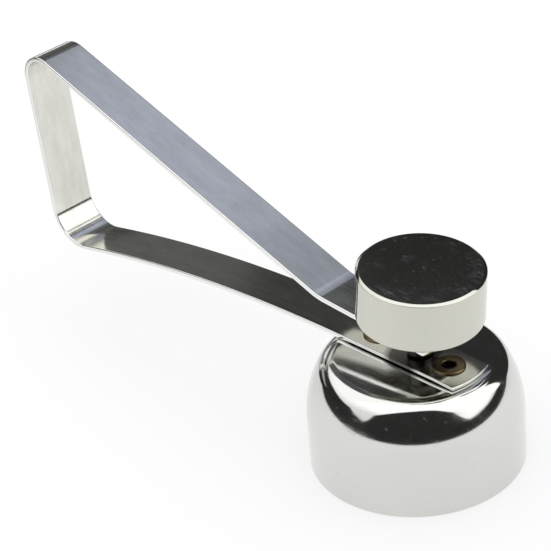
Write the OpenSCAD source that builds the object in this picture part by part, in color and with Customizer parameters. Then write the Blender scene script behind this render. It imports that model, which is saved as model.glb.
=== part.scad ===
// Egg topper: a bell-shaped cutter cup, struck by a knob that rides on a bent strip.
// The strip is handle and spring in one: lift the knob, let go, and the striker hits
// the leg that is riveted to the cup's crown, so that the rim cracks a ring in the shell.
// Frame: origin at the centre of the cup's mouth, +Z up, the handle runs towards -X.

/* [Cutter cup] */
// Outside diameter of the cup's straight wall
cup_d = 38.2; // [36:0.1:44]
// Height of the cup, from its rim to the crown
cup_h = 20.7; // [19:0.1:26]
// Thickness of the cup's sheet
cup_wall = 0.8; // [0.5:0.1:1.2]
// Radius of the corner round the flat crown
corner_r = 3.8; // [2.5:0.1:5]
// Radius of the bulging flank, between that corner and the straight wall
flank_r = 19.6; // [18:0.1:24]
// How far the flank turns in from upright before the corner starts, in degrees
flank_turn = 29.1; // [26:0.1:31]
// Radius that takes the burr off the rim's outer edge
rim_edge_r = 0.25; // [0.1:0.05:0.4]

/* [Handle strip] */
// Width of the strip
strip_w = 9.2; // [8:0.1:11]
// Thickness of the strip
strip_t = 0.9; // [0.6:0.05:1.3]
// Radius of the arc that ends the strip, front and top
tip_r = 13.8; // [8:0.1:18]
// From the cup's axis forward to the tip of the lower leg
tip_reach = 13.8; // [12.6:0.1:15]
// Radius of the lower leg's gentle bow behind the crown
bow_r = 340; // [250:5:900]
// From the cup's axis back to the end of the bow
bow_reach = 83.7; // [70:0.1:100]
// Inside radius of the round bend at the foot of the post
foot_bend_r = 6.2; // [3:0.1:9]
// Lean of the post, back from upright, in degrees
post_lean = 4.6; // [0:0.1:9]
// Inside radius of the tight bend at the head of the post
head_bend_r = 4.4; // [2.5:0.1:7]
// Fall of the long arm towards the knob, in degrees
arm_fall = 20; // [16:0.1:23]
// Radius of the soft bend between arm and landing, on the strip's middle
soft_bend_r = 9.5; // [5:0.1:14]

/* [Landing and knob] */
// Fall of the landing that carries the knob, in degrees
landing_fall = 4.4; // [0:0.1:7]
// From the soft bend forward to the knob's axis
landing_len = 18.7; // [16:0.1:22]
// From the knob's axis forward to the tip of the landing
landing_tip = 5.4; // [4.4:0.1:7]
// Diameter of the knob
knob_d = 22.1; // [18:0.1:26]
// Height of the knob
knob_h = 9.5; // [7.5:0.1:13]
// Radius of the knob's two turned edges
knob_edge_r = 0.4; // [0.2:0.05:1]

/* [Striker pin, washer and nut] */
// Where the striker hits the lower leg, forward of the cup's axis
strike_x = 1.7; // [0:0.1:2.5]
// Free height between lower leg and landing, along the striker
strike_gap = 3.85; // [3:0.05:6]
// Diameter of the striker's shoulder
shoulder_d = 4.6; // [4.2:0.1:5.2]
// Radius of the striker's domed end
dome_r = 8; // [6:0.5:12]
// Diameter of the stem that passes up through strip, washer and nut
stem_d = 3; // [2.5:0.1:3.4]
// How far the stem reaches into the knob
stem_grip = 5; // [3:0.1:6]
// Outside diameter of the spring washer
washer_d = 6.2; // [5.6:0.1:7]
// Thickness of the spring washer
washer_h = 0.8; // [0.5:0.05:1]
// Width of the spring washer's slanted split
washer_split = 0.6; // [0.4:0.05:0.9]
// Width of the lock nut across its flats
nut_af = 5.5; // [5:0.1:7]
// Height of the lock nut
nut_h = 2.4; // [1.8:0.1:3.2]

/* [Rivets] */
// From the tip of the lower leg back to the front rivet
rivet_inset = 5.5; // [4.8:0.1:6]
// Distance between the two rivets
rivet_pitch = 15.9; // [15:0.1:17]
// Outside diameter of a rivet's tube
rivet_d = 3.2; // [2.8:0.1:3.6]
// Bore of a rivet's tube
rivet_bore = 2; // [1.4:0.1:2.2]
// Diameter of the flange on the strip
rivet_head_d = 5.8; // [5:0.1:6.2]
// Height of that flange
rivet_head_h = 0.5; // [0.35:0.05:0.7]
// Diameter of the rolled tail inside the cup
rivet_tail_d = 4.8; // [4.4:0.1:5.6]
// Height of the rolled tail
rivet_tail_h = 0.7; // [0.4:0.05:0.9]

/* [Fits] */
// Radial clearance of a rivet in its holes
rivet_fit = 0.05; // [0.02:0.01:0.1]
// Radial clearance of the stem in the washer, the nut and the knob
stem_fit = 0.05; // [0.02:0.01:0.1]
// Radial clearance of the stem in the strip's hole
strip_hole_fit = 0.1; // [0.05:0.01:0.15]
// What stays free under the striker at rest
strike_clearance = 0.1; // [0.06:0.01:0.3]
// What stays free above the stem in the knob's blind hole
stem_end_clearance = 0.5; // [0.2:0.1:1]

/* [Hidden] */
$fn = 96;

// How far a cutting shape runs past what it cuts
over = 1;
// Degrees between the points of the strip's round bends and of the cup's rounded side
bend_facet = 3;
// Share of the height of a rivet's flange that its rounded edge takes
head_edge_share = 0.7;
// Slope of the chamfer on the nut's corners, in degrees
nut_chamfer = 30;
// Turn of the washer's split from the strip's length, and its slant, in degrees
split_turn = 130;
split_slant = 25;

steel = [0.80, 0.80, 0.78];
brushed_steel = [0.64, 0.67, 0.72];
tinted_steel = [0.58, 0.52, 0.42];
zinc = [0.70, 0.71, 0.72];

// ---- Heights and places that follow from the sizes above

wall_r = cup_d / 2;
flank_c = [wall_r - flank_r, cup_h - corner_r - (flank_r - corner_r) * sin(flank_turn)];
corner_c = flank_c + (flank_r - corner_r) * heading(flank_turn);
crown_r = corner_c.x;
leg_top = cup_h + strip_t;
front_rivet_x = tip_reach - rivet_inset;
rivet_xs = [front_rivet_x, front_rivet_x - rivet_pitch];
stack_h = washer_h + nut_h;
knob_base = strip_t / 2 + stack_h;

// The knob's axis is square to the landing. Its hole lies on the middle of the strip there.
function heading(angle) = [cos(angle), sin(angle)];
function left_of(angle) = [-sin(angle), cos(angle)];
axis_rise = strike_gap + strip_t / 2;
hole = [strike_x, leg_top] + axis_rise * left_of(-landing_fall);

// ---- The strip's middle line in the side view, as straight runs and round bends

// How far a bend of mid radius r carries a line that heads at an angle and turns by turn
function bend_step(angle, turn, r) = sign(turn) * r * (left_of(angle) - left_of(angle + turn));

foot_r = foot_bend_r + strip_t / 2;
head_r = head_bend_r + strip_t / 2;
bow_turn = asin((bow_reach - crown_r) / bow_r);
bow_end = 180 + bow_turn;
post_heading = 90 + post_lean;
foot_turn = post_heading - bow_end;
head_turn = -arm_fall - post_heading;
soft_turn = arm_fall - landing_fall;

bow_start = [-crown_r, cup_h + strip_t / 2];
post_start = bow_start + bend_step(180, bow_turn, bow_r) + bend_step(bow_end, foot_turn, foot_r);

// The post and the arm are as long as the loop needs to bring the landing's hole onto the knob's axis.
landing_start = hole - landing_len * heading(-landing_fall);
to_close = landing_start - post_start - bend_step(post_heading, head_turn, head_r)
    - bend_step(-arm_fall, soft_turn, soft_bend_r);
spread = cross(heading(post_heading), heading(-arm_fall));
post_len = cross(to_close, heading(-arm_fall)) / spread;
arm_len = cross(heading(post_heading), to_close) / spread;

// The middle of the head bend: the arm swings about it when the knob is lifted.
swing_axis = post_start + post_len * heading(post_heading) - head_r * left_of(post_heading);
echo(post_len = post_len, arm_len = arm_len, hole = hole, swing_axis = swing_axis);

// Each entry is a straight run, then the mid radius and the turn of the bend that follows it.
strip_steps = [
    [tip_reach + crown_r, bow_r, bow_turn],
    [0, foot_r, foot_turn],
    [post_len, head_r, head_turn],
    [arm_len, soft_bend_r, soft_turn],
    [landing_len + landing_tip, 0, 0]
];

// The line's points with the line's heading at each, one every bend_facet degrees round a bend
function line_points(steps, at, angle, i = 0) =
    i == len(steps) ? [] :
    let (
        run = steps[i][0],
        r = steps[i][1],
        turn = steps[i][2],
        bend_at = at + run * heading(angle),
        n = ceil(abs(turn) / bend_facet)
    )
    concat(
        [for (k = [run > 0 ? 0 : 1 : n]) let (part = k / max(n, 1) * turn)
            [bend_at + bend_step(angle, part, r), angle + part]],
        line_points(steps, bend_at + bend_step(angle, turn, r), angle + turn, i + 1)
    );

lower_tip = [tip_reach, cup_h + strip_t / 2];
strip_line = concat([[lower_tip, 180]], line_points(strip_steps, lower_tip, 180));

// ---- Helpers

// Takes a square corner of a profile off to radius r; quarter turns it to the corner's place
module round_off(at, r, quarter) {
    translate(at) rotate(90 * quarter) difference() {
        translate([-over, -over]) square(r + over);
        translate([r, r]) circle(r);
    }
}

// Stands things on the knob's axis, with z = 0 on the middle of the strip
module at_knob_axis() {
    translate([hole.x, 0, hole.y]) rotate([0, landing_fall, 0]) children();
}

// What an arc of tip_r leaves over of a flat strip's square end, at this reach along X
module past_round_tip(reach) {
    difference() {
        translate([reach - tip_r, -strip_w, -strip_t]) cube([tip_r + over, 2 * strip_w, 3 * strip_t]);
        translate([reach - tip_r, 0, -2 * strip_t]) cylinder(r = tip_r, h = 5 * strip_t);
    }
}

// ---- Cutter cup

// Points of an arc about centre, from one angle to another, without its first point
function arc_points(centre, r, from, to) =
    let (n = ceil(abs(to - from) / bend_facet))
    [for (k = [1 : n]) centre + r * heading(from + (to - from) * k / n)];

// Half section of the drawn sheet: up the wall, flank, corner and crown, and back down inside
module cup_section() {
    polygon(concat(
        [[wall_r, 0], flank_c + [flank_r, 0]],
        arc_points(flank_c, flank_r, 0, flank_turn),
        arc_points(corner_c, corner_r, flank_turn, 90),
        [[0, cup_h], [0, cup_h - cup_wall], corner_c + [0, corner_r - cup_wall]],
        arc_points(corner_c, corner_r - cup_wall, 90, flank_turn),
        arc_points(flank_c, flank_r - cup_wall, flank_turn, 0),
        [[wall_r - cup_wall, 0]]
    ));
}

module cutter_cup() {
    color(steel) difference() {
        rotate_extrude() difference() {
            cup_section();
            round_off([wall_r, 0], rim_edge_r, 1);
        }
        for (x = rivet_xs) translate([x, 0, cup_h - cup_wall - over])
            cylinder(d = rivet_d + 2 * rivet_fit, h = cup_wall + 2 * over);
    }
}

// ---- Handle strip

// The bent strip's side outline: the middle line, half a thickness to its left, and back on its right
module strip_outline() {
    last = len(strip_line) - 1;
    polygon(concat(
        [for (p = strip_line) p[0] + strip_t / 2 * left_of(p[1])],
        [for (i = [last : -1 : 0]) strip_line[i][0] - strip_t / 2 * left_of(strip_line[i][1])]
    ));
}

module handle_strip() {
    color(brushed_steel) difference() {
        rotate([90, 0, 0]) linear_extrude(strip_w, center = true) strip_outline();
        translate([0, 0, cup_h]) past_round_tip(tip_reach);
        at_knob_axis() translate([0, 0, -strip_t / 2]) past_round_tip(landing_tip);
        for (x = rivet_xs) translate([x, 0, cup_h - over])
            cylinder(d = rivet_d + 2 * rivet_fit, h = strip_t + 2 * over);
        at_knob_axis() translate([0, 0, -strip_t])
            cylinder(d = stem_d + 2 * strip_hole_fit, h = 2 * strip_t);
    }
}

// ---- Rivets

// Half section of a tubular rivet: flange on the strip, tube, rolled tail under the crown
module rivet_section() {
    tail_top = cup_h - cup_wall;
    tail_r = rivet_tail_h / 2;
    head_edge_r = rivet_head_h * head_edge_share;
    lip_r = rivet_head_h / 2;
    difference() {
        union() {
            translate([rivet_bore / 2, tail_top - rivet_tail_h])
                square([(rivet_d - rivet_bore) / 2, leg_top + rivet_head_h - tail_top + rivet_tail_h]);
            translate([rivet_bore / 2, leg_top]) square([(rivet_head_d - rivet_bore) / 2, rivet_head_h]);
            translate([rivet_bore / 2, tail_top - rivet_tail_h])
                square([(rivet_tail_d - rivet_bore) / 2, rivet_tail_h]);
        }
        round_off([rivet_head_d / 2, leg_top + rivet_head_h], head_edge_r, 2);
        round_off([rivet_bore / 2, leg_top + rivet_head_h], lip_r, 3);
        round_off([rivet_tail_d / 2, tail_top - rivet_tail_h], tail_r, 1);
        round_off([rivet_bore / 2, tail_top - rivet_tail_h], tail_r, 0);
    }
}

module cup_rivets() {
    color(tinted_steel) for (x = rivet_xs) translate([x, 0, 0])
        rotate_extrude() rivet_section();
}

// ---- Knob, nut, washer and striker pin, all on the knob's axis

module knob() {
    color(steel) at_knob_axis() translate([0, 0, knob_base]) difference() {
        rotate_extrude() difference() {
            square([knob_d / 2, knob_h]);
            round_off([knob_d / 2, knob_h], knob_edge_r, 2);
            round_off([knob_d / 2, 0], knob_edge_r, 1);
        }
        translate([0, 0, -over])
            cylinder(d = stem_d + 2 * stem_fit, h = over + stem_grip + stem_end_clearance);
    }
}

module lock_nut() {
    corner_d = nut_af / cos(30);
    chamfer_h = (corner_d - nut_af) / 2 * tan(nut_chamfer);
    color(zinc) at_knob_axis() translate([0, 0, strip_t / 2 + washer_h]) difference() {
        intersection() {
            cylinder(d = corner_d, h = nut_h, $fn = 6);
            rotate_extrude() polygon([
                [0, 0],
                [nut_af / 2, 0],
                [corner_d / 2, chamfer_h],
                [corner_d / 2, nut_h - chamfer_h],
                [nut_af / 2, nut_h],
                [0, nut_h]
            ]);
        }
        translate([0, 0, -over]) cylinder(d = stem_d + 2 * stem_fit, h = nut_h + 2 * over);
    }
}

module spring_washer() {
    color(zinc) at_knob_axis() translate([0, 0, strip_t / 2]) difference() {
        cylinder(d = washer_d, h = washer_h);
        translate([0, 0, -over]) cylinder(d = stem_d + 2 * stem_fit, h = washer_h + 2 * over);
        translate([0, 0, washer_h / 2]) rotate(split_turn) rotate([split_slant, 0, 0])
            translate([0, -washer_split / 2, -2 * washer_h])
            cube([washer_d, washer_split, 4 * washer_h]);
    }
}

module striker_pin() {
    shoulder_top = -strip_t / 2;
    dome_tip = shoulder_top - strike_gap + strike_clearance;
    stem_h = strip_t + stack_h + stem_grip;
    color(steel) at_knob_axis() {
        intersection() {
            translate([0, 0, dome_tip]) cylinder(d = shoulder_d, h = shoulder_top - dome_tip);
            translate([0, 0, dome_tip + dome_r]) sphere(dome_r);
        }
        translate([0, 0, shoulder_top]) cylinder(d = stem_d, h = stem_h);
    }
}

cutter_cup();
handle_strip();
cup_rivets();
knob();
lock_nut();
spring_washer();
striker_pin();
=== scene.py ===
# %% [markdown]
# # An egg topper in Blender
# The tool is a steel bell that stands on its rim. One bent steel strip is riveted to its crown, and
# a heavy knob rides on the strip's free end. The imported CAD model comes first, because it fixes
# every place and size. What is made here lies exactly where that model says.

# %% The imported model
import math

import bmesh
import bpy
import numpy as np
from mathutils import Matrix


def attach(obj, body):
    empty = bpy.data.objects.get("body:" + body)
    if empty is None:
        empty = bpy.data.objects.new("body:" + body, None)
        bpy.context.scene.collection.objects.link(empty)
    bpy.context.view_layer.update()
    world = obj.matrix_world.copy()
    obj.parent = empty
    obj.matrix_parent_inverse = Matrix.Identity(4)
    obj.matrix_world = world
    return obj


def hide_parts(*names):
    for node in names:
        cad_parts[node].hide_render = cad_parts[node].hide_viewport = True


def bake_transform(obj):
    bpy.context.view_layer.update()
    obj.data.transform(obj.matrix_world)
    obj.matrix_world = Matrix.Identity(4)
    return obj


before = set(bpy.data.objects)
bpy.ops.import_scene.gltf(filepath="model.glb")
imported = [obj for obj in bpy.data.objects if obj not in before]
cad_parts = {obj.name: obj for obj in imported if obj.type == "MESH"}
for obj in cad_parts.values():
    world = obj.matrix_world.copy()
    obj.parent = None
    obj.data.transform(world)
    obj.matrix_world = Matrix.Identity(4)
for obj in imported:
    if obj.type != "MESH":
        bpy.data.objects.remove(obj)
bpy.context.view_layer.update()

print("CAD nodes:", sorted(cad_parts))

# %% [markdown]
# ## Sizes
# The sizes are the CAD model's own, in millimetres. The surfaces are worked out in millimetres too,
# and a mesh is scaled to metres when it is made.

# %% Sizes in millimetres
MM = 0.001
CUP_R, CUP_H, CUP_WALL = 19.1, 20.7, 0.8
CORNER_R, FLANK_R, FLANK_TURN = 3.8, 19.6, math.radians(29.1)
STRIP_W, STRIP_T, TIP_R = 9.2, 0.9, 13.8
TIP_REACH, BOW_R, BOW_REACH = 13.8, 340.0, 83.7
FOOT_R, HEAD_R, SOFT_R = 6.65, 4.85, 9.5
POST_LEAN, ARM_FALL, LANDING_FALL = math.radians(4.6), math.radians(20), math.radians(4.4)
LANDING_LEN, LANDING_TIP = 18.7, 5.4
KNOB_R, KNOB_H, KNOB_EDGE = 11.05, 9.5, 0.4
STRIKE_X, STRIKE_GAP, STRIKE_CLEAR = 1.7, 3.85, 0.1
SHOULDER_R, DOME_R, STEM_R, STEM_GRIP = 2.3, 8.0, 1.5, 5.0
WASHER_H, NUT_H = 0.8, 2.4
RIVET_XS = (8.3, -7.6)
RIVET_R, RIVET_BORE_R, FLANGE_R, FLANGE_H = 1.6, 1.25, 2.9, 0.34
TAIL_R, TAIL_H = 2.4, 0.7
LEG_TOP = CUP_H + STRIP_T
FIT = 0.05  # between a pin or a rivet and its hole, in the radius

# %% [markdown]
# ## The camera
# The camera stands where the photographer's stood: in front of the bell, a little to the right and
# looking down at about 31 degrees. Its place comes from fitting the known sizes to the picture's
# outlines, so the render can be laid over the photograph.

# %% Camera
CAMERA_AZ, CAMERA_EL, CAMERA_ROLL = math.radians(47.951), math.radians(31.169), math.radians(-5.407)
FOCAL_PX, IMAGE_PX, SENSOR_MM = 2068.9, 551, 36.0
ORIGIN_PX, ORIGIN_DISTANCE = (418.04, 450.53), 368.37


def photo_camera():
    """A camera turned by azimuth, elevation and roll. The frame's origin falls on its given pixel."""
    back = np.array([
        math.sin(CAMERA_AZ) * math.cos(CAMERA_EL),
        -math.cos(CAMERA_AZ) * math.cos(CAMERA_EL),
        math.sin(CAMERA_EL),
    ])
    right = np.array([math.cos(CAMERA_AZ), math.sin(CAMERA_AZ), 0.0])
    level = np.array([right, np.cross(back, right), back])
    c, s = math.cos(CAMERA_ROLL), math.sin(CAMERA_ROLL)
    turn = np.array([[c, s, 0], [-s, c, 0], [0, 0, 1]]) @ level
    middle = IMAGE_PX / 2
    ray = np.array([(ORIGIN_PX[0] - middle) / FOCAL_PX, (middle - ORIGIN_PX[1]) / FOCAL_PX, -1.0])
    place = -turn.T @ (ray / np.linalg.norm(ray) * ORIGIN_DISTANCE)
    matrix = np.eye(4)
    matrix[:3, :3] = turn.T
    matrix[:3, 3] = place * MM
    data = bpy.data.cameras.new("photo_camera")
    data.sensor_width = SENSOR_MM
    data.lens = FOCAL_PX / IMAGE_PX * SENSOR_MM
    data.clip_start = 0.01
    camera = bpy.data.objects.new("photo_camera", data)
    camera.matrix_world = Matrix(matrix.tolist())
    bpy.context.scene.collection.objects.link(camera)
    bpy.context.scene.camera = camera
    return camera


camera = photo_camera()
print("camera at", [round(v, 3) for v in camera.matrix_world.translation])

# %% [markdown]
# ## Shader nodes in short
# A shader is a chain of nodes. Each helper below adds one node, links or sets its inputs and
# returns its output, so that a chain reads like a sum. They serve materials, the sky and node groups.

# %% Shader helpers


def node_tree(owner):
    """The node tree of a material or a world, emptied, and a short way to add a node to it."""
    owner.use_nodes = True
    tree = owner.node_tree
    tree.nodes.clear()
    return tree, tree.nodes.new


def math_node(group, operation, a, b=None, c=None):
    """A Math node whose inputs are linked sockets or plain numbers. Returns its output."""
    node = group.nodes.new("ShaderNodeMath")
    node.operation = operation
    for k, value in enumerate((a, b, c)):
        if value is None:
            continue
        if isinstance(value, (int, float)):
            node.inputs[k].default_value = value
        else:
            group.links.new(value, node.inputs[k])
    return node.outputs[0]


def vector_node(group, operation, a, b=None):
    """A Vector Math node on a linked vector and, if given, a plain one. Returns the node."""
    node = group.nodes.new("ShaderNodeVectorMath")
    node.operation = operation
    group.links.new(a, node.inputs[0])
    if b is not None:
        node.inputs[1].default_value = b
    return node


def noise(group, vector, scale, detail=2.0, dimensions="3D", roughness=0.5):
    """A Noise texture on a linked vector, or on a linked number in one dimension. Returns its Factor."""
    node = group.nodes.new("ShaderNodeTexNoise")
    node.noise_dimensions = dimensions
    node.inputs["Scale"].default_value = scale
    node.inputs["Detail"].default_value = detail
    node.inputs["Roughness"].default_value = roughness
    group.links.new(vector, node.inputs["W" if dimensions == "1D" else "Vector"])
    return node.outputs[0]


def spread(group, value, low, high, to_low=0.0, to_high=1.0, smooth=False):
    """Stretches a value from one range to another, and holds it inside the second."""
    node = group.nodes.new("ShaderNodeMapRange")
    node.interpolation_type = "SMOOTHSTEP" if smooth else "LINEAR"
    group.links.new(value, node.inputs["Value"])
    for label, number in (("From Min", low), ("From Max", high), ("To Min", to_low), ("To Max", to_high)):
        node.inputs[label].default_value = number
    return node.outputs[0]


# %% [markdown]
# ## The studio
# Polished steel shows nothing but its surroundings, so the surroundings are half of the material.
# The bell's bright crescent is the sky, which is brighter overhead. Its dark wings are a dark panel
# on the camera's side, and its pale skirt is the white table. The strip's blue-grey arm and its dark
# leg show walls behind the table. Only reflections see the panels. They were placed until the
# reflections lay where the photograph has them, so they are no record of the real room.

# %% Studio
TOWARD_CAMERA = np.array([math.sin(CAMERA_AZ), -math.cos(CAMERA_AZ), 0.0])
CAMERA_RIGHT = np.array([math.cos(CAMERA_AZ), math.sin(CAMERA_AZ), 0.0])
SKY_LIGHT, HIGH_SKY_LIGHT, SOFTBOX_LIGHT = 1.0, 1.38, 0.12
BLACK_CLOTH, DARK_CLOTH, DIM_CLOTH = (0.025,) * 3, (0.045,) * 3, (0.115,) * 3
GREY_WALL, BRIGHT_WALL = (0.42, 0.42, 0.43), (1.45,) * 3
DARK_BLUE_WALL, PALE_BLUE_WALL = (0.085, 0.09, 0.10), (0.50, 0.53, 0.67)
MID_BLUE_WALL, LANDING_GREY = (0.35, 0.375, 0.46), (0.19, 0.195, 0.215)
TABLE_SIDE, TABLE_DROP, TABLE_GREY, TABLE_GLOW = 4.0, 0.00003, (0.25,) * 3, 0.68
DARK_DISC_R = 18.4 * MM  # the table under the bell, which would otherwise glow inside it
# Distances in metres and the share of the glow at each: toward the camera, and from a place in front.
# The lower shares paint shade on the table behind the bell and round the front place, seen only in
# reflections.
GLOW_TOWARD, GLOW_ROUND_FRONT, FRONT_PLACE = (-0.09, -0.015, 0.75, 0.97), (0.015, 0.07, 0.96, 1.03), 0.07
HIGH_SKY = (0.30, 0.66)  # heights of the sky's unit sphere between which it brightens
SOFTBOX_PLACE, SOFTBOX_SIZE = (0.37, 0, 0.9), (1.9, 0.86)


def flat_mesh(name, corners, faces):
    """A mesh of a few flat faces, from corner points in metres."""
    mesh = bpy.data.meshes.new(name)
    mesh.from_pydata([tuple(c) for c in corners], [], faces)
    obj = bpy.data.objects.new(name, mesh)
    bpy.context.scene.collection.objects.link(obj)
    return obj


def reflected_panel(name, corners, colour, faces=((0, 1, 2, 3),)):
    """A panel of one even colour that only reflections see."""
    panel = flat_mesh(name, corners, faces)
    material = bpy.data.materials.new(name)
    tree, add = node_tree(material)
    glow = add("ShaderNodeEmission")
    glow.inputs["Color"].default_value = (*colour, 1)
    out = add("ShaderNodeOutputMaterial")
    tree.links.new(glow.outputs[0], out.inputs["Surface"])
    material.cycles.emission_sampling = "NONE"
    panel.data.materials.append(material)
    panel.visible_camera = panel.visible_diffuse = panel.visible_shadow = False
    return panel


def studio_point(toward, right, up):
    """A point by its distances toward the camera, to its right, and up, in metres."""
    return TOWARD_CAMERA * toward + CAMERA_RIGHT * right + np.array([0, 0, up])


def table_glow(tree):
    """How much of its full white the table shows: none under the bell, and in reflections painted shade, less
    behind it and round a place in front.
    """
    where = tree.nodes.new("ShaderNodeTexCoord").outputs["Object"]
    path = tree.nodes.new("ShaderNodeLightPath").outputs
    from_axis = vector_node(tree, "LENGTH", where).outputs["Value"]
    outside = math_node(tree, "GREATER_THAN", from_axis, DARK_DISC_R)
    toward = vector_node(tree, "DOT_PRODUCT", where, TOWARD_CAMERA).outputs["Value"]
    from_front = vector_node(tree, "DISTANCE", where, studio_point(FRONT_PLACE, 0, 0)).outputs["Value"]
    shares = math_node(tree, "MULTIPLY", spread(tree, toward, *GLOW_TOWARD),
                       spread(tree, from_front, *GLOW_ROUND_FRONT))
    reflected = math_node(tree, "MULTIPLY", path["Is Glossy Ray"], shares)
    seen = math_node(tree, "MAXIMUM", path["Is Camera Ray"], reflected)
    return math_node(tree, "MULTIPLY", seen, outside)


def white_table():
    """A matt table that also glows white for the camera and for reflections, and keeps the shadow."""
    side, drop = TABLE_SIDE, TABLE_DROP
    corners = [(-side, -side, -drop), (side, -side, -drop), (side, side, -drop), (-side, side, -drop)]
    table = flat_mesh("table", corners, [(0, 1, 2, 3)])
    material = bpy.data.materials.new("white_table")
    tree, add = node_tree(material)
    matt = add("ShaderNodeBsdfDiffuse")
    matt.inputs["Color"].default_value = (*TABLE_GREY, 1)
    glow = add("ShaderNodeEmission")
    total = add("ShaderNodeAddShader")
    out = add("ShaderNodeOutputMaterial")
    strength = math_node(tree, "MULTIPLY", table_glow(tree), TABLE_GLOW)
    tree.links.new(strength, glow.inputs["Strength"])
    tree.links.new(glow.outputs[0], total.inputs[0])
    tree.links.new(matt.outputs[0], total.inputs[1])
    tree.links.new(total.outputs[0], out.inputs["Surface"])
    material.cycles.emission_sampling = "NONE"
    table.data.materials.append(material)
    return table


def white_sky():
    """White behind everything for the camera, and for the rest a soft light that is stronger overhead."""
    world = bpy.data.worlds.new("studio")
    bpy.context.scene.world = world
    tree, add = node_tree(world)
    soft, plain = add("ShaderNodeBackground"), add("ShaderNodeBackground")
    path, where = add("ShaderNodeLightPath"), add("ShaderNodeTexCoord")
    parts = add("ShaderNodeSeparateXYZ")
    mix = add("ShaderNodeMixShader")
    out = add("ShaderNodeOutputWorld")
    for node in (soft, plain):
        node.inputs["Color"].default_value = (1, 1, 1, 1)
    tree.links.new(where.outputs["Generated"], parts.inputs[0])
    strength = spread(tree, parts.outputs[2], *HIGH_SKY, SKY_LIGHT, HIGH_SKY_LIGHT, smooth=True)
    tree.links.new(strength, soft.inputs["Strength"])
    tree.links.new(path.outputs["Is Camera Ray"], mix.inputs["Fac"])
    tree.links.new(soft.outputs[0], mix.inputs[1])
    tree.links.new(plain.outputs[0], mix.inputs[2])
    tree.links.new(mix.outputs[0], out.inputs["Surface"])


def softbox(name, place, size, radiance):
    """A rectangular area lamp above the table, facing down. Its power is radiance times pi times area."""
    lamp = bpy.data.lights.new(name, "AREA")
    lamp.shape = "RECTANGLE"
    lamp.size, lamp.size_y = size
    lamp.energy = radiance * math.pi * size[0] * size[1]
    obj = bpy.data.objects.new(name, lamp)
    obj.location = place
    obj.rotation_euler = (0, 0, CAMERA_AZ)
    obj.visible_camera = False
    bpy.context.scene.collection.objects.link(obj)
    return obj


white_table()
white_sky()
softbox("overhead_softbox", studio_point(*SOFTBOX_PLACE), SOFTBOX_SIZE, SOFTBOX_LIGHT)

# On the camera's side: a dark shape with a rounded top, as a photographer in dark clothes makes.
SIDE_SHAPE = np.array([
    (-1.25, 0), (-0.98, 0.155), (-0.74, 0.206), (-0.60, 0.285), (-0.50, 0.37), (-0.39, 0.54), (-0.289, 0.665),
    (-0.20, 0.75), (-0.10, 0.81), (0.0, 0.835), (0.09, 0.815), (0.16, 0.76), (0.22, 0.655), (0.275, 0.50),
    (0.33, 0.32), (0.40, 0.215), (0.50, 0.145), (0.62, 0.10), (0.75, 0),
])
reflected_panel(
    "camera_side_panel",
    [studio_point(0.5, right, up) for right, up in SIDE_SHAPE],
    BLACK_CLOTH,
    [tuple(range(len(SIDE_SHAPE)))],
)


def curtain(name, azimuths, tops, bottoms, colour, distance=1.5, steps=24):
    """A curved curtain between a top and a bottom angle below the zenith, in degrees.

    Azimuths count from the camera's side to its right. An edge is one angle, or one for each azimuth
    with straight lines between them. A point is distance times the unit vector of its angles."""
    turns = np.linspace(azimuths[0], azimuths[-1], steps + 1)
    azimuth = np.radians(turns)
    rows = []
    for edge in (tops, bottoms):
        zenith = np.radians(np.interp(turns, azimuths, np.broadcast_to(edge, len(azimuths))))
        out = np.sin(zenith)[:, None] * (np.cos(azimuth)[:, None] * TOWARD_CAMERA
                                         + np.sin(azimuth)[:, None] * CAMERA_RIGHT)
        rows.append(distance * (out + np.cos(zenith)[:, None] * [0, 0, 1]))
    k = np.arange(steps)
    faces = np.stack([k, k + 1, k + 2 + steps, k + 1 + steps], axis=1)
    return reflected_panel(name, np.concatenate(rows), colour, faces.tolist())


CURTAINS = (
    ("black_backdrop", (104, 176), 48, 90, BLACK_CLOTH),
    ("dark_backdrop", (176, 185), 48, 90, DARK_CLOTH),
    ("dim_backdrop", (185, 190, 196, 204), (48, 48, 49, 50), (90, 82, 73, 73), DIM_CLOTH),
    ("dark_blue_wall", (90, 105, 120, 135, 150, 202), (5, 5, 5, 4, 4, 3), (13, 16, 21, 30, 48, 50),
     DARK_BLUE_WALL),
    ("right_wall", (100, 105, 109, 112, 116, 150), (28, 25, 24, 37, 38, 47), (29, 33, 38, 42, 49, 49),
     DARK_CLOTH),
    ("far_right_wall", (124, 150), (23, 47), (38, 49), DARK_CLOTH),
    ("mid_blue_wall", (144, 151), 29, 48.8, MID_BLUE_WALL, 1.3),
    ("pale_blue_wall", (151, 166), 29, (40.3, 40.8), PALE_BLUE_WALL, 1.3),
    ("low_blue_wall", (151, 166), (40.3, 40.8), 47.6, MID_BLUE_WALL, 1.3),
    ("far_blue_wall", (166, 174), 29, 48.8, MID_BLUE_WALL, 1.3),
    ("landing_patch", (174, 182), 48, 53.4, LANDING_GREY, 1.42, 4),
    ("left_gap", (203, 225, 240, 255, 270, 285, 300), (61, 62, 62, 66, 73, 79, 81),
     (73, 75, 82, 90, 90, 90, 90), BLACK_CLOTH),
    ("left_wall", (206, 225, 240, 250), (75, 76, 83, 88), 90, GREY_WALL),
    ("bright_wall", (28, 104), 40, 83, BRIGHT_WALL, 1.6),
)
for row in CURTAINS:
    curtain(*row)


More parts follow.
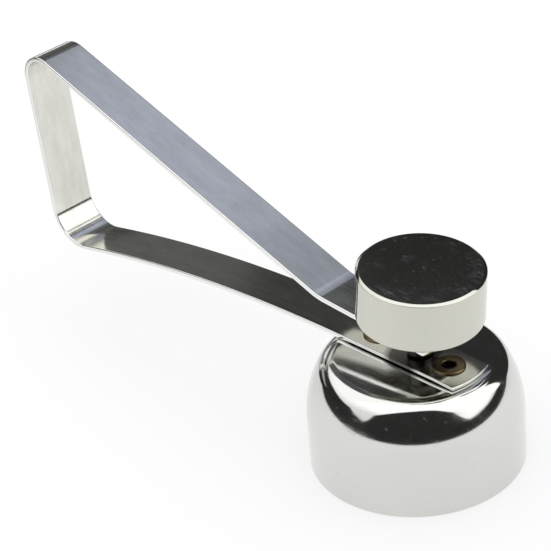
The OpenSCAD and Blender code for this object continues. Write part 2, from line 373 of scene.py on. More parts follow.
def table_edge(radius, high_left, high_right, sides=48):
    """A low dark wall round the table, higher on the left: a ring of points at angle 2 pi k / sides."""
    angle = 2 * np.pi * np.arange(sides) / sides
    across = np.sin(angle)[:, None]
    low = radius * (np.cos(angle)[:, None] * TOWARD_CAMERA + across * CAMERA_RIGHT)
    high = low + (high_left + (high_right - high_left) * (across + 1) / 2) * [0, 0, 1]
    k = np.arange(sides)
    n = (k + 1) % sides
    faces = np.stack([k, n, n + sides, k + sides], axis=1)
    return reflected_panel("table_edge", np.concatenate([low, high]), BLACK_CLOTH, faces.tolist())


table_edge(0.2, 0.044, 0.033)
print("studio: table, sky, softbox, side panel, table edge and", len(CURTAINS), "curtains")

# %% [markdown]
# ## From a grid of points to a mesh
# Each new surface is a grid of points, worked out as whole arrays: rows run one way over the
# surface and columns the other. The helpers below join the grid with quads, scale it to metres and
# mark the edges that are really sharp, so that the rest shades smoothly.

# %% Grid helpers
SHARP_EDGE = math.radians(50)


def grid_quads(rows, cols):
    """Quads between neighbouring points of a grid whose last column joins its first."""
    r = np.arange(rows - 1)[:, None]
    c = np.arange(cols)[None, :]
    n = (c + 1) % cols
    quads = np.stack([r * cols + c, r * cols + n, (r + 1) * cols + n, (r + 1) * cols + c], axis=-1)
    return quads.reshape(-1, 4)


def new_piece(name, points, faces, uv=None):
    """A smooth-shaded object from points in millimetres. Doubles are merged and faces point outwards."""
    mesh = bpy.data.meshes.new(name)
    mesh.from_pydata((np.asarray(points) * MM).tolist(), [], faces)
    if uv is not None:
        layer = mesh.uv_layers.new(name="along_the_strip")
        corner_of = np.empty(len(mesh.loops), dtype=np.int32)
        mesh.loops.foreach_get("vertex_index", corner_of)
        layer.data.foreach_set("uv", np.asarray(uv, dtype=np.float32)[corner_of].ravel())
    work = bmesh.new()
    work.from_mesh(mesh)
    bmesh.ops.remove_doubles(work, verts=work.verts, dist=1e-7)
    bmesh.ops.recalc_face_normals(work, faces=work.faces)
    work.to_mesh(mesh)
    work.free()
    mesh.polygons.foreach_set("use_smooth", np.ones(len(mesh.polygons), dtype=bool))
    mesh.set_sharp_from_angle(angle=SHARP_EDGE)
    obj = bpy.data.objects.new(name, mesh)
    bpy.context.scene.collection.objects.link(obj)
    return obj


def drill(piece, places, radius, low, high, sides=48):
    """Cuts upright round holes through the piece, from height low to high, and keeps the cut mesh."""
    angle = 2 * np.pi * np.arange(sides) / sides
    circle = np.stack([np.cos(angle), np.sin(angle)], axis=1) * radius
    k = np.arange(sides)
    n = (k + 1) % sides
    walls = np.stack([k, n, n + sides, k + sides], axis=1).tolist()
    faces = walls + [k[::-1].tolist(), (k + sides).tolist()]
    for x in places:
        ring = circle + [x, 0]
        points = np.concatenate([np.c_[ring, np.full(sides, low)], np.c_[ring, np.full(sides, high)]])
        bit = flat_mesh("drill_bit", points * MM, faces)
        cut = piece.modifiers.new("hole", "BOOLEAN")
        cut.object, cut.operation, cut.solver = bit, "DIFFERENCE", "EXACT"
        graph = bpy.context.evaluated_depsgraph_get()
        done = bpy.data.meshes.new_from_object(piece.evaluated_get(graph), depsgraph=graph)
        piece.modifiers.clear()
        piece.data = done
        bpy.data.objects.remove(bit)
    piece.data.polygons.foreach_set("use_smooth", np.ones(len(piece.data.polygons), dtype=bool))
    piece.data.set_sharp_from_angle(angle=SHARP_EDGE)


def arc(centre, radius, start, end, steps):
    """Points of an arc: centre plus radius times (cos, sin) of angles that go evenly from start to end."""
    angle = np.linspace(start, end, steps + 1)
    return np.asarray(centre) + radius * np.stack([np.cos(angle), np.sin(angle)], axis=1)


def turned(profile, sides=256):
    """A surface of revolution: each (r, z) becomes (r cos a, r sin a, z), with a from 0 to 2 pi."""
    angle = 2 * np.pi * np.arange(sides) / sides
    r, z = np.asarray(profile, dtype=float).T
    points = np.stack([
        r[:, None] * np.cos(angle),
        r[:, None] * np.sin(angle),
        np.repeat(z[:, None], sides, axis=1),
    ], axis=-1)
    return points.reshape(-1, 3), grid_quads(len(r), sides).tolist()


# %% [markdown]
# ## The bell
# The real bell is drawn from sheet: a flat crown, a tight corner, a slightly bulging flank and a
# straight wall. CAD builds that side from short cones, which is right for size but would show as
# rings in polished steel. Here the same profile is turned with far finer steps.

# %% Bell
flank_c = np.array([CUP_R - FLANK_R, CUP_H - CORNER_R - (FLANK_R - CORNER_R) * math.sin(FLANK_TURN)])
corner_c = flank_c + (FLANK_R - CORNER_R) * np.array([math.cos(FLANK_TURN), math.sin(FLANK_TURN)])
CROWN_R = corner_c[0]


def bell_profile():
    """The closed section of the sheet: up outside along two arcs, over the crown, and back inside."""
    outer_lip, inner_lip, quarter = 0.25, 0.1, math.pi / 2
    inner_r = CUP_R - CUP_WALL
    crown = np.linspace(CROWN_R, 0, 8)[1:]
    return np.concatenate([
        arc((inner_r + inner_lip, inner_lip), inner_lip, 2 * quarter, 3 * quarter, 4),
        arc((CUP_R - outer_lip, outer_lip), outer_lip, -quarter, 0, 6),
        [(CUP_R, 0.4)],
        [(CUP_R, z) for z in np.linspace(2, flank_c[1] - 0.5, 6)],
        arc(flank_c, FLANK_R, 0, FLANK_TURN, 30),
        arc(corner_c, CORNER_R, FLANK_TURN, quarter, 40)[1:],
        np.c_[crown, np.full(len(crown), CUP_H)],
        np.c_[crown[::-1], np.full(len(crown), CUP_H - CUP_WALL)],
        arc(corner_c, CORNER_R - CUP_WALL, quarter, FLANK_TURN, 30),
        arc(flank_c, FLANK_R - CUP_WALL, FLANK_TURN, 0, 20)[1:],
        [(inner_r, z) for z in np.linspace(flank_c[1] - 0.5, 0.3, 5)],
        [(inner_r, inner_lip)],
    ])


bell = new_piece("bell", *turned(bell_profile()))
drill(bell, RIVET_XS, RIVET_R + FIT, CUP_H - CUP_WALL - 1, CUP_H + 1)
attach(bell, "cup_and_strip")
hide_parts("cutter_cup")
print("bell:", len(bell.data.polygons), "faces")

# %% [markdown]
# ## The bent strip
# Handle and spring are one strip. Its middle line is a chain of straight runs and round bends, and
# its section is a thin rectangle with slightly rolled edges, as a sheared and tumbled strip has.
# The section is carried along the line. At both ends the strip is cut to a shallow arc.

# %% Middle line of the strip


def heading(angle):
    """The unit vector at this angle, in the side view."""
    return np.array([math.cos(angle), math.sin(angle)])


def bend_step(angle, turn, radius):
    """How far a bend carries a line that heads at angle: radius times the change of its left-hand normal."""
    return math.copysign(radius, turn) * (heading(angle + math.pi / 2) - heading(angle + turn + math.pi / 2))


axis_rise = STRIKE_GAP + STRIP_T / 2
hole = np.array([STRIKE_X, LEG_TOP]) + axis_rise * heading(math.pi / 2 - LANDING_FALL)
bow_turn = math.asin((BOW_REACH - CROWN_R) / BOW_R)
bow_end = math.pi + bow_turn
post_heading = math.pi / 2 + POST_LEAN
foot_turn = post_heading - bow_end
head_turn = -ARM_FALL - post_heading
soft_turn = ARM_FALL - LANDING_FALL
bow_start = np.array([-CROWN_R, CUP_H + STRIP_T / 2])
post_start = bow_start + bend_step(math.pi, bow_turn, BOW_R) + bend_step(bow_end, foot_turn, FOOT_R)
landing_start = hole - LANDING_LEN * heading(-LANDING_FALL)
to_close = landing_start - post_start - bend_step(post_heading, head_turn, HEAD_R)
to_close = to_close - bend_step(-ARM_FALL, soft_turn, SOFT_R)
post_len, arm_len = np.linalg.solve(
    np.stack([heading(post_heading), heading(-ARM_FALL)], axis=1), to_close
)
swing_axis = post_start + post_len * heading(post_heading) - HEAD_R * heading(post_heading + math.pi / 2)
print("post", round(post_len, 3), "arm", round(arm_len, 3), "swing axis", swing_axis.round(3))

LINE_STEPS = (
    (TIP_REACH + CROWN_R, BOW_R, bow_turn),
    (0.0, FOOT_R, foot_turn),
    (post_len, HEAD_R, head_turn),
    (arm_len, SOFT_R, soft_turn),
    (LANDING_LEN + LANDING_TIP, 0.0, 0.0),
)


ROW_STEP, BEND_STEP = 2.5, 2.0  # the longest step between rows, in mm, and in degrees of a bend


def middle_line(steps, start, angle):
    """Rows of (distance along, x, z, heading), close together in the bends and further apart between."""
    rows, at, along = [(0.0, start[0], start[1], angle)], np.array(start), 0.0
    for run, radius, turn in steps:
        count = max(int(run / ROW_STEP), 1) if run else 0
        for k in range(1, count + 1):
            p = at + heading(angle) * run * k / count
            rows.append((along + run * k / count, p[0], p[1], angle))
        at, along = at + heading(angle) * run, along + run
        count = max(math.ceil(abs(math.degrees(turn)) / BEND_STEP), math.ceil(abs(turn) * radius / ROW_STEP))
        for k in range(1, count + 1):
            p = at + bend_step(angle, turn * k / count, radius)
            rows.append((along + abs(turn) * radius * k / count, p[0], p[1], angle + turn * k / count))
        if turn:
            at, along, angle = at + bend_step(angle, turn, radius), along + abs(turn) * radius, angle + turn
    return np.array(rows)


line = middle_line(LINE_STEPS, (TIP_REACH, CUP_H + STRIP_T / 2), math.pi)
strip_length = line[-1, 0]
bow_len = BOW_R * bow_turn
post_end = TIP_REACH + CROWN_R + bow_len + FOOT_R * abs(foot_turn) + post_len
print("strip length", round(strip_length, 2), "mm")


def on_line(along):
    """x, z and heading of the middle line at these distances along it."""
    return [np.interp(along, line[:, 0], line[:, k]) for k in (1, 2, 3)]


# %% [markdown]
# The strip is made as two pieces that meet at the top of the post, because the arm must bend when
# the knob is lifted while the post stays still. Each row of the grid is one loop round the section.
# Near a free end the rows crowd together and follow the arc, and the last few roll over its edge.

# %% Surface of the strip
ROLL_R, ROLL_STEPS, END_ZONE = 0.2, 4, 7.0
EDGE_PAD, FLAT_INSET, FLAT_POINTS = 0.04, 0.7, 9
END_SHARES = (0.25, 0.5, 0.75, 0.9, 0.99, 1.0)
SEAT_GAP, SEAT_FADE = 0.3, 3.0
TIP_DROOP, DROOP_LEN = math.radians(2.5), 5.0


def section_half():
    """Upper half of the section as (across, out) pairs, over one rolled edge, the flat and the other."""
    half_w, half_t = STRIP_W / 2, STRIP_T / 2
    quarter = np.linspace(0, math.pi / 2, ROLL_STEPS + 1)
    roll = np.stack([
        -half_w + ROLL_R * (1 - np.cos(quarter)),
        half_t - ROLL_R * (1 - np.sin(quarter)),
    ], axis=1)
    below, beside = (-half_w, half_t - ROLL_R - EDGE_PAD), (-half_w + ROLL_R + EDGE_PAD, half_t)
    left = np.concatenate([[below], roll, [beside]])
    flat_y = np.linspace(-half_w + FLAT_INSET, half_w - FLAT_INSET, FLAT_POINTS)
    flat = np.stack([flat_y, np.full(FLAT_POINTS, half_t)], axis=1)
    return np.concatenate([left, flat, left[::-1] * [-1, 1]])


upper_half = section_half()
across = np.concatenate([upper_half[:, 0], upper_half[::-1, 0]])
outward = np.concatenate([upper_half[:, 1], -upper_half[::-1, 1]])
half_count = len(upper_half)


def arc_setback(y):
    """How far the end arc falls back at this distance from the strip's middle: R minus sqrt(R^2 - y^2)."""
    return TIP_R - np.sqrt(TIP_R**2 - y**2)


def strip_rows(start, end, tip_at_start, tip_at_end):
    """Distances along the strip and outward offsets of each loop point, one row per loop."""
    between = line[(line[:, 0] > start + 1e-6) & (line[:, 0] < end - 1e-6), 0]
    inner_low = start + END_ZONE if tip_at_start else start
    inner_high = end - END_ZONE if tip_at_end else end
    between = between[(between > inner_low + 0.5) & (between < inner_high - 0.5)]
    rows = [np.full(len(across), s) for s in np.concatenate([[inner_low], between, [inner_high]])]
    offsets = [outward] * len(rows)
    half_t = STRIP_T / 2
    quarter = np.linspace(0, math.pi / 2, ROLL_STEPS + 1)[1:]

    def end_rows(inner, tip, sign):
        """Loops from inner to the tip's arc, and then over its rolled edge. sign is -1 at the start."""
        last = tip - sign * (arc_setback(across) + ROLL_R)
        grid = [inner + (last - inner) * share for share in END_SHARES]
        out = [outward] * len(grid)
        for angle in quarter:
            limit = half_t - ROLL_R * (1 - math.cos(angle))
            grid.append(last + sign * ROLL_R * math.sin(angle))
            out.append(np.clip(outward, -limit, limit))
        return grid, out

    if tip_at_start:
        grid, out = end_rows(inner_low, start, -1)
        rows, offsets = grid[::-1] + rows, out[::-1] + offsets
    if tip_at_end:
        grid, out = end_rows(inner_high, end, 1)
        rows, offsets = rows + grid, offsets + out
    return np.array(rows), np.array(offsets)


def strip_piece(name, start, end, tip_at_start=False, tip_at_end=False):
    """The section carried along the middle line: a point of it plus out times its left-hand normal.

    Where the strip sits on the crown its underside stays a hair clear, which gives the dark joint
    line. The tip over the crown droops: its last few millimetres fall in a straight slope."""
    along, out = strip_rows(start, end, tip_at_start, tip_at_end)
    x, z, angle = on_line(along)
    seated = np.clip((TIP_REACH + CROWN_R - along) / SEAT_FADE, 0, 1)
    out = out - np.where(out > 0, SEAT_GAP * seated, 0)
    if tip_at_start:
        out = out + math.tan(TIP_DROOP) * np.clip(DROOP_LEN - along, 0, None)
    y = np.broadcast_to(across, along.shape)
    points = np.stack([x - np.sin(angle) * out, y, z + np.cos(angle) * out], axis=-1).reshape(-1, 3)
    uv = np.stack([along * MM, (y + out) * MM], axis=-1).reshape(-1, 2)
    rows, cols = along.shape
    faces = grid_quads(rows, cols).tolist()
    i = np.arange(half_count - 1)
    cap = np.stack([i, i + 1, cols - 2 - i, cols - 1 - i], axis=1)
    faces += cap.tolist() + (cap + (rows - 1) * cols).tolist()
    return new_piece(name, points, faces, uv)


lower_strip = strip_piece("strip_leg_and_post", 0.0, post_end, tip_at_start=True)
drill(lower_strip, RIVET_XS, RIVET_R + FIT, CUP_H - 1, LEG_TOP + 1)
upper_strip = strip_piece("strip_arm_and_landing", post_end, strip_length, tip_at_end=True)
print("strip:", len(lower_strip.data.polygons), "+", len(upper_strip.data.polygons), "faces")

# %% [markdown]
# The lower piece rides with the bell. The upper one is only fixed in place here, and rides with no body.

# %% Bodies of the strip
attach(lower_strip, "cup_and_strip")
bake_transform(upper_strip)
for piece in (lower_strip, upper_strip):
    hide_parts("handle_strip")

# %% [markdown]
# ## The tubular rivets
# Each rivet is a short tube: a rounded flange on the strip, and a tail rolled over under the crown.
# Both come from one profile. The bore stays open, which is why it looks so dark from above.

# %% Rivets


def rivet_profile():
    """The rivet's closed section: bore, flange with a raised rounded lip, tube, and the rolled tail."""
    top, tail_top = LEG_TOP + FLANGE_H, CUP_H - CUP_WALL
    lip, edge, fall, quarter, tail_half = 0.16, 0.25, 0.02, math.pi / 2, TAIL_H / 2
    return np.concatenate([
        arc((RIVET_BORE_R + lip, top - lip), lip, 2 * quarter, quarter, 8),
        [(RIVET_BORE_R + 0.6, top), (FLANGE_R - 0.9, top - fall)],
        arc((FLANGE_R - edge, top - edge - fall), edge, quarter, 0, 8),
        [(FLANGE_R, LEG_TOP + 0.03), (FLANGE_R - 0.03, LEG_TOP), (RIVET_R, LEG_TOP)],
        [(RIVET_R, tail_top), (TAIL_R - tail_half, tail_top)],
        arc((TAIL_R - tail_half, tail_top - tail_half), tail_half, quarter, -quarter, 10)[1:],
        arc((RIVET_BORE_R + tail_half, tail_top - tail_half), tail_half, 3 * quarter, 2 * quarter, 6),
        [(RIVET_BORE_R, top - lip)],
    ])


def rivets():
    """Both rivets as one mesh: the same turned surface, shifted to each place."""
    points, faces = turned(rivet_profile(), 72)
    both = np.concatenate([points + [x, 0, 0] for x in RIVET_XS])
    return new_piece("tubular_rivets", both, faces + (np.array(faces) + len(points)).tolist())


rivet_pair = rivets()
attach(rivet_pair, "cup_and_strip")
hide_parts("cup_rivets")

# %% [markdown]
# ## The hammer
# Knob and striker pin are turned parts on one axis, square to the landing. They are turned about Z
# first and their points are then tilted and moved onto the axis, so each object stays at the origin.

# %% Knob and striker pin


def onto_axis(points):
    """Turns points by the landing's fall about Y and moves them to the hole in the landing."""
    c, s = math.cos(LANDING_FALL), math.sin(LANDING_FALL)
    x, y, z = np.asarray(points).T
    return np.stack([c * x + s * z + hole[0], y, c * z - s * x + hole[1]], axis=1)


def edge_break(r, top, depth):
    """A broken top edge as (r, z) points: a short round, a slope 40 degrees from level, another round."""
    slope, small = math.radians(40), 0.12
    low = (r - small, top - depth)
    drop = depth - small + small * math.cos(slope) - small * (1 - math.cos(slope))
    run = drop / math.tan(slope)
    foot = arc(low, small, 0, math.pi / 2 - slope, 4)
    head_c = (foot[-1, 0] - run - small * math.sin(slope), top - small)
    return np.concatenate([foot, arc(head_c, small, math.pi / 2 - slope, math.pi / 2, 4)])


def knob_profile():
    """The knob's section: blind hole from below, flat base, rounded edges, side and flat top."""
    base = STRIP_T / 2 + WASHER_H + NUT_H
    top, quarter = base + KNOB_H, math.pi / 2
    bore_r, bore_top, sink = STEM_R + FIT, base + STEM_GRIP + 0.5, 0.2
    return np.concatenate([
        [(0, bore_top), (bore_r, bore_top), (bore_r, base + sink), (bore_r + sink, base)],
        [(r, base) for r in np.linspace(3, KNOB_R - KNOB_EDGE - 0.05, 5)],
        arc((KNOB_R - KNOB_EDGE, base + KNOB_EDGE), KNOB_EDGE, -quarter, 0, 8),
        [(KNOB_R, base + KNOB_EDGE + 0.05), (KNOB_R, base + KNOB_H / 2), (KNOB_R, top - KNOB_EDGE - 0.05)],
        edge_break(KNOB_R, top, KNOB_EDGE),
        [(r, top) for r in np.linspace(KNOB_R - KNOB_EDGE - 0.1, 0, 6)],
    ])


def pin_profile():
    """The striker pin's section: domed end, shoulder with broken edges, and the stem up into the knob."""
    under = -STRIP_T / 2
    tip = under - STRIKE_GAP + STRIKE_CLEAR
    edge, stem_edge = 0.2, 0.3
    rim_angle = math.asin((SHOULDER_R - edge) / DOME_R)
    dome = arc((0, tip + DOME_R), DOME_R, -math.pi / 2, rim_angle - math.pi / 2, 10)
    edge_z = dome[-1, 1]
    stem_top = STRIP_T / 2 + WASHER_H + NUT_H + STEM_GRIP
    return np.concatenate([
        dome,
        arc((SHOULDER_R - edge, edge_z + edge), edge, -math.pi / 2 + 0.3, 0, 5),
        [(SHOULDER_R, edge_z + edge + 0.05), (SHOULDER_R, under - edge)],
        [(SHOULDER_R - 0.1, under), (STEM_R, under)],
        [(STEM_R, stem_top - stem_edge), (STEM_R - stem_edge, stem_top), (0, stem_top)],
    ])


def turned_on_axis(name, profile, sides):
    """A turned piece, tilted and moved onto the hammer's axis."""
    points, faces = turned(profile, sides)
    return new_piece(name, onto_axis(points), faces)


hammer_knob = turned_on_axis("hammer_knob", knob_profile(), 256)
striker = turned_on_axis("striker", pin_profile(), 96)
for piece, node, finish in ((hammer_knob, "knob", "knob_steel"), (striker, "striker_pin", "striker_steel")):
    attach(piece, "hammer")
    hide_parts(node)
print("knob:", len(hammer_knob.data.polygons), "faces; nut and washer stay the CAD's own")

# %% [markdown]
# ## Finishes
# All the pieces are bare steel, and what tells them apart is how each was worked, apart from the
# painted shade on the striker pin and the leg. Six effects are node groups, so that every material can
# use them with its own values: grain along a rolled strip, rings from a lathe or a drawing die, marks
# of handling, dust, the shine of the strip's cut edges, and a painted dark reflection where the
# striker lands.

# %% Node groups


def new_group(name, inputs, outputs):
    """A shader node group with named float or vector sockets. Inputs carry their default value."""
    group = bpy.data.node_groups.new(name, "ShaderNodeTree")
    for label, kind, value in inputs:
        socket = group.interface.new_socket(label, in_out="INPUT", socket_type=kind)
        if value is not None:
            socket.default_value = value
    for label in outputs:
        group.interface.new_socket(label, in_out="OUTPUT", socket_type="NodeSocketFloat")
    return group, group.nodes.new("NodeGroupInput"), group.nodes.new("NodeGroupOutput")


FLOAT, VECTOR = "NodeSocketFloat", "NodeSocketVector"


def rolled_grain():
    """Fine lines along U, from noise stretched along the strip in two sizes, and a mottled cloudiness."""
    group, into, out = new_group("rolled_grain", [("Vector", VECTOR, None)], ["Lines", "Bands", "Clouds"])
    cloud = vector_node(group, "MULTIPLY", into.outputs["Vector"], (110, 380, 1)).outputs[0]
    fine = vector_node(group, "MULTIPLY", into.outputs["Vector"], (110, 16000, 1)).outputs[0]
    wide = vector_node(group, "MULTIPLY", into.outputs["Vector"], (14, 1500, 1)).outputs[0]
    group.links.new(noise(group, fine, 1.0, 3.0, "2D", 0.6), out.inputs["Lines"])
    group.links.new(noise(group, wide, 1.0, 2.0, "2D"), out.inputs["Bands"])
    clouds = spread(group, noise(group, cloud, 1.0, 6.0, "2D", 0.68), 0.36, 0.64)
    group.links.new(clouds, out.inputs["Clouds"])
    return group


def turned_rings():
    """Rings about the vector's Z axis: one-dimensional noise of the radius plus a share of the height."""
    group, into, out = new_group(
        "turned_rings", [("Vector", VECTOR, None), ("Rings per metre", FLOAT, 9000.0)], ["Rings", "Waves"]
    )
    parts = group.nodes.new("ShaderNodeSeparateXYZ")
    group.links.new(into.outputs["Vector"], parts.inputs[0])
    x, y, z = parts.outputs
    radius = math_node(group, "SQRT", math_node(group, "ADD", math_node(group, "MULTIPLY", x, x),
                                                math_node(group, "MULTIPLY", y, y)))
    place = math_node(group, "ADD", radius, z)
    count = math_node(group, "MULTIPLY", place, into.outputs["Rings per metre"])
    group.links.new(noise(group, count, 1.0, 3.0, "1D", 0.7), out.inputs["Rings"])
    wide = math_node(group, "MULTIPLY", place, 900.0)
    group.links.new(noise(group, wide, 1.0, 1.0, "1D"), out.inputs["Waves"])
    return group


def handling_marks():
    """Cloudy smudges, and hair-fine scratches where two stretched noises both come near their middle."""
    group, into, out = new_group("handling_marks", [("Vector", VECTOR, None)], ["Smudges", "Scratches"])
    vector = into.outputs["Vector"]
    group.links.new(spread(group, noise(group, vector, 90.0, 4.0), 0.35, 0.7), out.inputs["Smudges"])
    masks = []
    for turn in ((0.4, 0.9, 0.3), (1.3, 0.2, 2.1)):
        rotate = group.nodes.new("ShaderNodeMapping")
        rotate.inputs["Rotation"].default_value = turn
        rotate.inputs["Scale"].default_value = (60, 2600, 2600)
        group.links.new(vector, rotate.inputs["Vector"])
        lines = noise(group, rotate.outputs[0], 1.0, 1.0)
        near = math_node(group, "ABSOLUTE", math_node(group, "SUBTRACT", lines, 0.5))
        thin = spread(group, near, 0.0, 0.012, 1.0, 0.0)
        patch = spread(group, noise(group, vector, 160.0 + 40 * turn[0], 1.0), 0.56, 0.66)
        masks.append(math_node(group, "MULTIPLY", thin, patch))
    group.links.new(math_node(group, "MAXIMUM", *masks), out.inputs["Scratches"])
    return group


def fine_dust():
    """A faint patchy haze and sparse bright specks, from the peaks of two fine noises."""
    group, into, out = new_group("fine_dust", [("Vector", VECTOR, None)], ["Haze", "Specks"])
    vector = into.outputs["Vector"]
    haze = spread(group, noise(group, vector, 700.0, 5.0, roughness=0.7), 0.42, 0.72)
    specks = spread(group, noise(group, vector, 1500.0, 0.0), 0.76, 0.82)
    group.links.new(haze, out.inputs["Haze"])
    group.links.new(specks, out.inputs["Specks"])
    return group


def edge_shine():
    """A mask that is 1 on the strip's cut edges, where |y| comes near half its width."""
    group, into, out = new_group(
        "edge_shine", [("Vector", VECTOR, None), ("Half width", FLOAT, 0.0046)], ["Mask"]
    )
    parts = group.nodes.new("ShaderNodeSeparateXYZ")
    group.links.new(into.outputs["Vector"], parts.inputs[0])
    aside = math_node(group, "ABSOLUTE", parts.outputs[1])
    inward = math_node(group, "SUBTRACT", into.outputs["Half width"], aside)
    group.links.new(spread(group, inward, 0.00012, 0.0003, 1.0, 0.0), out.inputs["Mask"])
    return group


def painted_reflection_patch():
    """A painted dark reflection round the strike point on the leg: a ragged disc, below the given height
    only.

    It stands in for the dark mirror image that the photograph most likely shows there."""
    group, into, out = new_group(
        "painted_reflection_patch", [("Vector", VECTOR, None), ("Highest", FLOAT, 0.0225)], ["Mask"]
    )
    flat = vector_node(group, "MULTIPLY", into.outputs["Vector"], (1, 0.85, 0)).outputs[0]
    away = vector_node(group, "DISTANCE", flat, (0.0012, -0.0005, 0)).outputs["Value"]
    rough = noise(group, into.outputs["Vector"], 900.0, 3.0)
    ragged = math_node(group, "MULTIPLY_ADD", rough, 0.0012, away)
    disc = spread(group, ragged, 0.0046, 0.0060, 1.0, 0.0)
    parts = group.nodes.new("ShaderNodeSeparateXYZ")
    group.links.new(into.outputs["Vector"], parts.inputs[0])
    low = math_node(group, "LESS_THAN", parts.outputs[2], into.outputs["Highest"])
    group.links.new(math_node(group, "MULTIPLY", disc, low), out.inputs["Mask"])
    return group


GRAIN, RINGS, MARKS = rolled_grain(), turned_rings(), handling_marks()
DUST, SHINE, REFLECTION_PATCH = fine_dust(), edge_shine(), painted_reflection_patch()
print("node groups:", [g.name for g in (GRAIN, RINGS, MARKS, DUST, SHINE, REFLECTION_PATCH)])

# %% [markdown]
# Each material is a metallic Principled shader. Its colour, roughness and bump come from the groups
# and from the numbers in one table, so the finishes can be compared at a glance.

# %% Materials


def place_group(tree, group, vector):
    """The group as a node of this material, fed with a vector."""
    node = tree.nodes.new("ShaderNodeGroup")
    node.node_tree = group
    tree.links.new(vector, node.inputs["Vector"])
    return node


def mix_colours(tree, factor, one, two):
    """Mixes two plain colours, or a linked one with a plain one, by a linked factor."""
    node = tree.nodes.new("ShaderNodeMix")
    node.data_type = "RGBA"
    tree.links.new(factor, node.inputs["Factor"])
    for label, value in (("A", one), ("B", two)):
        socket = [s for s in node.inputs if s.name == label and s.type == "RGBA"][0]
        if isinstance(value, tuple):
            socket.default_value = (*value, 1)
        else:
            tree.links.new(value, socket)
    return [s for s in node.outputs if s.type == "RGBA"][0]


def bump(tree, height, distance, strength, below=None):
    """A Bump node on a linked height, on top of the normal of the one below it."""
    node = tree.nodes.new("ShaderNodeBump")
    node.inputs["Distance"].default_value = distance
    node.inputs["Strength"].default_value = strength
    tree.links.new(height, node.inputs["Height"])
    if below is not None:
        tree.links.new(below, node.inputs["Normal"])
    return node.outputs[0]


EDGE_COLOUR, CLOUD_COLOUR = (0.88, 0.88, 0.87), (0.60, 0.60, 0.57)
# The colour of the painted dark reflection round the strike point on the leg.
REFLECTION_PATCH_COLOUR = (0.13, 0.127, 0.12)
CLOUD_SHARE, SMUDGE_SHARE, SMUDGE_SHADE = 0.5, 0.25, 0.9
SPECK_WEIGHT = 14  # how much more a speck of dust counts than haze does
# The middle roughness change belongs to the painted dark reflection on the leg.
EDGE_ROUGH, REFLECTION_PATCH_ROUGH, SCRATCH_ROUGH = -0.06, 0.08, 0.12
SCRATCH_DEPTH, SCRATCH_STRENGTH = -2e-6, 0.6


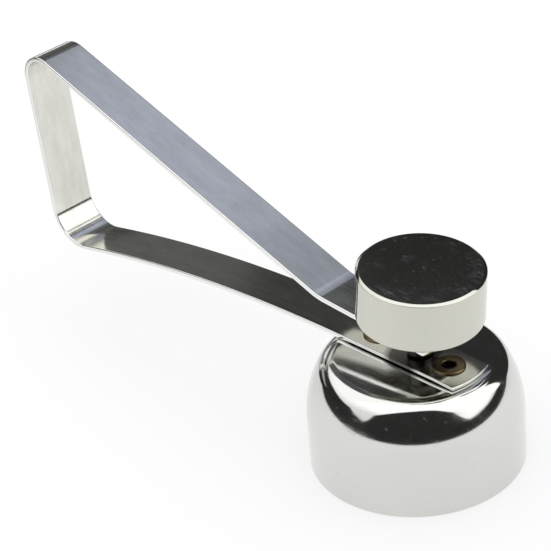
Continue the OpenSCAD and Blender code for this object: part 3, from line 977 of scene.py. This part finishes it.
def steel(name, pattern, light, dark, rough, rough_change, depth, axis_at=None, tilt=0.0,
          smudge=0.03, sideways=0.0, waves=0.0, dust=0.0):
    """Bare steel: a pattern mixes two close colours, changes the roughness and raises its lines by depth.

    sideways says how much wider the steel scatters light across its grain than along it, waves how
    much of the pattern's broad part shows, and dust how much less metallic the dusty places are."""
    material = bpy.data.materials.new(name)
    tree, add = node_tree(material)
    shader = add("ShaderNodeBsdfPrincipled")
    out = add("ShaderNodeOutputMaterial")
    tree.links.new(shader.outputs[0], out.inputs["Surface"])
    where = add("ShaderNodeTexCoord")
    if pattern is GRAIN:
        lines_from = where.outputs["UV"]
        shader.inputs["Anisotropic"].default_value = sideways
        shader.inputs["Anisotropic Rotation"].default_value = 0.25
        tangent = add("ShaderNodeTangent")
        tangent.direction_type = "UV_MAP"
        tangent.uv_map = "along_the_strip"
        tree.links.new(tangent.outputs[0], shader.inputs["Tangent"])
    else:
        centred = add("ShaderNodeMapping")
        centred.vector_type = "TEXTURE"
        centred.inputs["Location"].default_value = axis_at or (0, 0, 0)
        centred.inputs["Rotation"].default_value = (0, tilt, 0)
        tree.links.new(where.outputs["Object"], centred.inputs["Vector"])
        lines_from = centred.outputs[0]
    lines = place_group(tree, pattern, lines_from)
    marks = place_group(tree, MARKS, where.outputs["Object"])
    fine, broad = lines.outputs[0], lines.outputs[1]
    shade = math_node(tree, "MULTIPLY_ADD", math_node(tree, "SUBTRACT", broad, fine), waves, fine)
    shade = spread(tree, shade, 0.3, 0.7)
    colour = mix_colours(tree, shade, dark, light)
    smudged = math_node(tree, "MULTIPLY", marks.outputs["Smudges"], SMUDGE_SHARE)
    colour = mix_colours(tree, smudged, colour, tuple(SMUDGE_SHADE * v for v in light))
    roughness = spread(tree, shade, 0.0, 1.0, rough - rough_change, rough + rough_change)
    grime = place_group(tree, DUST, where.outputs["Object"])
    metal = math_node(tree, "MULTIPLY_ADD", grime.outputs["Haze"], -dust, 1.0)
    metal = math_node(tree, "MULTIPLY_ADD", grime.outputs["Specks"], -SPECK_WEIGHT * dust, metal)
    tree.links.new(metal, shader.inputs["Metallic"])
    if pattern is GRAIN:
        clouds = math_node(tree, "MULTIPLY", lines.outputs["Clouds"], CLOUD_SHARE)
        colour = mix_colours(tree, clouds, colour, CLOUD_COLOUR)
        edge = place_group(tree, SHINE, where.outputs["Object"]).outputs["Mask"]
        colour = mix_colours(tree, edge, colour, EDGE_COLOUR)
        roughness = math_node(tree, "MULTIPLY_ADD", edge, EDGE_ROUGH, roughness)
        # Painted reflection: a dark patch round the strike point stands in for a dark mirror image on the
        # leg.
        painted_reflection = place_group(tree, REFLECTION_PATCH, where.outputs["Object"]).outputs["Mask"]
        colour = mix_colours(tree, painted_reflection, colour, REFLECTION_PATCH_COLOUR)
        roughness = math_node(tree, "MULTIPLY_ADD", painted_reflection, REFLECTION_PATCH_ROUGH, roughness)
    tree.links.new(colour, shader.inputs["Base Color"])
    roughness = math_node(tree, "MULTIPLY_ADD", marks.outputs["Smudges"], smudge, roughness)
    roughness = math_node(tree, "MULTIPLY_ADD", marks.outputs["Scratches"], SCRATCH_ROUGH, roughness)
    tree.links.new(roughness, shader.inputs["Roughness"])
    normal = bump(tree, fine, depth, 1.0)
    normal = bump(tree, marks.outputs["Scratches"], SCRATCH_DEPTH, SCRATCH_STRENGTH, normal)
    tree.links.new(normal, shader.inputs["Normal"])
    return material


axis_place = (hole[0] * MM, 0, hole[1] * MM)
FINISHES = {
    "drawn_steel": steel(
        "drawn_steel", RINGS, (0.70, 0.705, 0.68), (0.69, 0.695, 0.67), 0.07, 0.01, 2e-8,
        smudge=0.02, dust=0.006,
    ),
    "brushed_strip": steel(
        "brushed_strip", GRAIN, (0.80, 0.795, 0.735), (0.75, 0.745, 0.685), 0.12, 0.03, 1e-7,
        sideways=0.4, waves=0.5, dust=0.003,
    ),
    "turned_knob": steel(
        "turned_knob", RINGS, (0.62, 0.62, 0.555), (0.61, 0.61, 0.545), 0.08, 0.01, 2e-8,
        axis_place, LANDING_FALL, smudge=0.0, dust=0.004,
    ),
    # Painted shade: the pin's colour is steel darkened far below its own, for the shade and dark reflections
    # under the knob.
    "turned_pin_painted_shade": steel(
        "turned_pin_painted_shade", RINGS, (0.14, 0.13, 0.115), (0.09, 0.085, 0.07), 0.22, 0.04, 4e-7,
        axis_place, LANDING_FALL,
    ),
    "plated_fastener": steel(
        "plated_fastener", RINGS, (0.56, 0.56, 0.52), (0.48, 0.48, 0.44), 0.26, 0.05, 4e-7,
        axis_place, LANDING_FALL,
    ),
    "tinted_rivet": steel(
        "tinted_rivet", RINGS, (0.28, 0.215, 0.13), (0.15, 0.105, 0.05), 0.26, 0.06, 1e-6,
        (RIVET_XS[0] * MM, 0, 0), waves=0.5,
    ),
}


def wear_finish(obj, name):
    """Gives the object this one finish."""
    obj.data.materials.clear()
    obj.data.materials.append(FINISHES[name])


for obj, name in (
    (bell, "drawn_steel"),
    (lower_strip, "brushed_strip"),
    (upper_strip, "brushed_strip"),
    (rivet_pair, "tinted_rivet"),
    (hammer_knob, "turned_knob"),
    (striker, "turned_pin_painted_shade"),
    (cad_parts["lock_nut"], "plated_fastener"),
    (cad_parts["spring_washer"], "plated_fastener"),
):
    wear_finish(obj, name)
print("finishes:", sorted(FINISHES))

# %% [markdown]
# Standard view keeps each colour as it is written.

# %% View
bpy.context.scene.view_settings.view_transform = "Standard"
